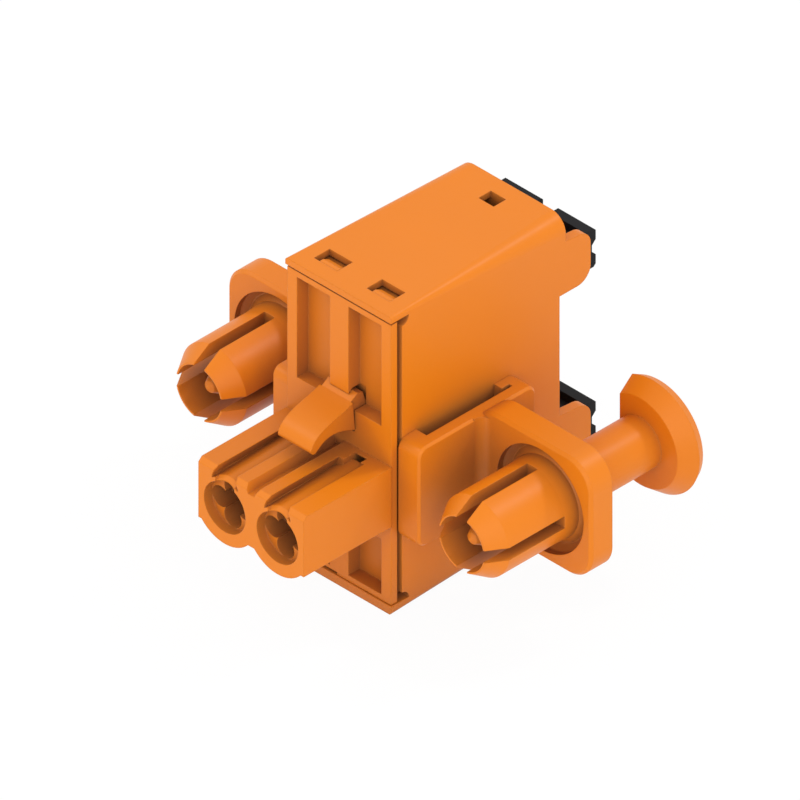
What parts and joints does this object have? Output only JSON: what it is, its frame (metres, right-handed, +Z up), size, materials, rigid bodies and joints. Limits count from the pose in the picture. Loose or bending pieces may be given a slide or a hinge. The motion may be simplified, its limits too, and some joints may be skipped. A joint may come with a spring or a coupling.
{
  "type": "pluggable wire-to-board connector",
  "caption": "Pluggable power connector with a socketed nose, release latch, wire-release push buttons and snap-in side flanges with lock pins.",
  "frame": {"origin": "middle of the nose's mating face, halfway between the two socket axes", "axes": "-Y is the plugging direction, X runs from pole to pole, Z is up"},
  "size_m": [0.0526, 0.0435, 0.0373],
  "materials": {
    "orange_moulding": "fine satin moulding",
    "black_moulding": "satin moulding",
    "contact_alloy": "tin plated",
    "spring_steel": "rolled strip"
  },
  "bodies": {
    "base": {"housing": "orange_moulding", "front_insert": "orange_moulding", "left_flange": "orange_moulding", "left_contact": "contact_alloy", "left_contact_spring": "spring_steel", "left_current_bar": "contact_alloy", "upper_left_clamp_spring": "spring_steel", "lower_left_clamp_spring": "spring_steel", "right_flange": "orange_moulding", "right_contact": "contact_alloy", "right_contact_spring": "spring_steel", "right_current_bar": "contact_alloy", "upper_right_clamp_spring": "spring_steel", "lower_right_clamp_spring": "spring_steel"},
    "latch": {"release_latch": "orange_moulding"},
    "left_pin": {"left_lock_pin": "orange_moulding"},
    "upper_left_push": {"upper_left_button": "black_moulding"},
    "lower_left_push": {"lower_left_button": "black_moulding"},
    "right_pin": {"right_lock_pin": "orange_moulding"},
    "upper_right_push": {"upper_right_button": "black_moulding"},
    "lower_right_push": {"lower_right_button": "black_moulding"}
  },
  "joints": [
    {"name": "latch_lift", "type": "hinge", "parent": "base", "child": "latch", "pos_m": [0, 0.0139, 0.0077], "axis": [-1, 0, 0], "range_deg": [0, 8], "stiffness_Nm_per_rad": 0.02},
    {"name": "left_pin_slide", "type": "slide", "parent": "base", "child": "left_pin", "axis": [0, -1, 0], "range_m": [0, 0.0113]},
    {"name": "right_pin_slide", "type": "slide", "parent": "base", "child": "right_pin", "axis": [0, -1, 0], "range_m": [0, 0.0113]},
    {"name": "upper_left_press", "type": "slide", "parent": "base", "child": "upper_left_push", "axis": [0, -1, 0], "range_m": [0, 0.0018], "stiffness_N_per_m": 400},
    {"name": "upper_right_press", "type": "slide", "parent": "base", "child": "upper_right_push", "axis": [0, -1, 0], "range_m": [0, 0.0018], "stiffness_N_per_m": 400},
    {"name": "lower_left_press", "type": "slide", "parent": "base", "child": "lower_left_push", "axis": [0, -1, 0], "range_m": [0, 0.0018], "stiffness_N_per_m": 400},
    {"name": "lower_right_press", "type": "slide", "parent": "base", "child": "lower_right_push", "axis": [0, -1, 0], "range_m": [0, 0.0018], "stiffness_N_per_m": 400}
  ]
}
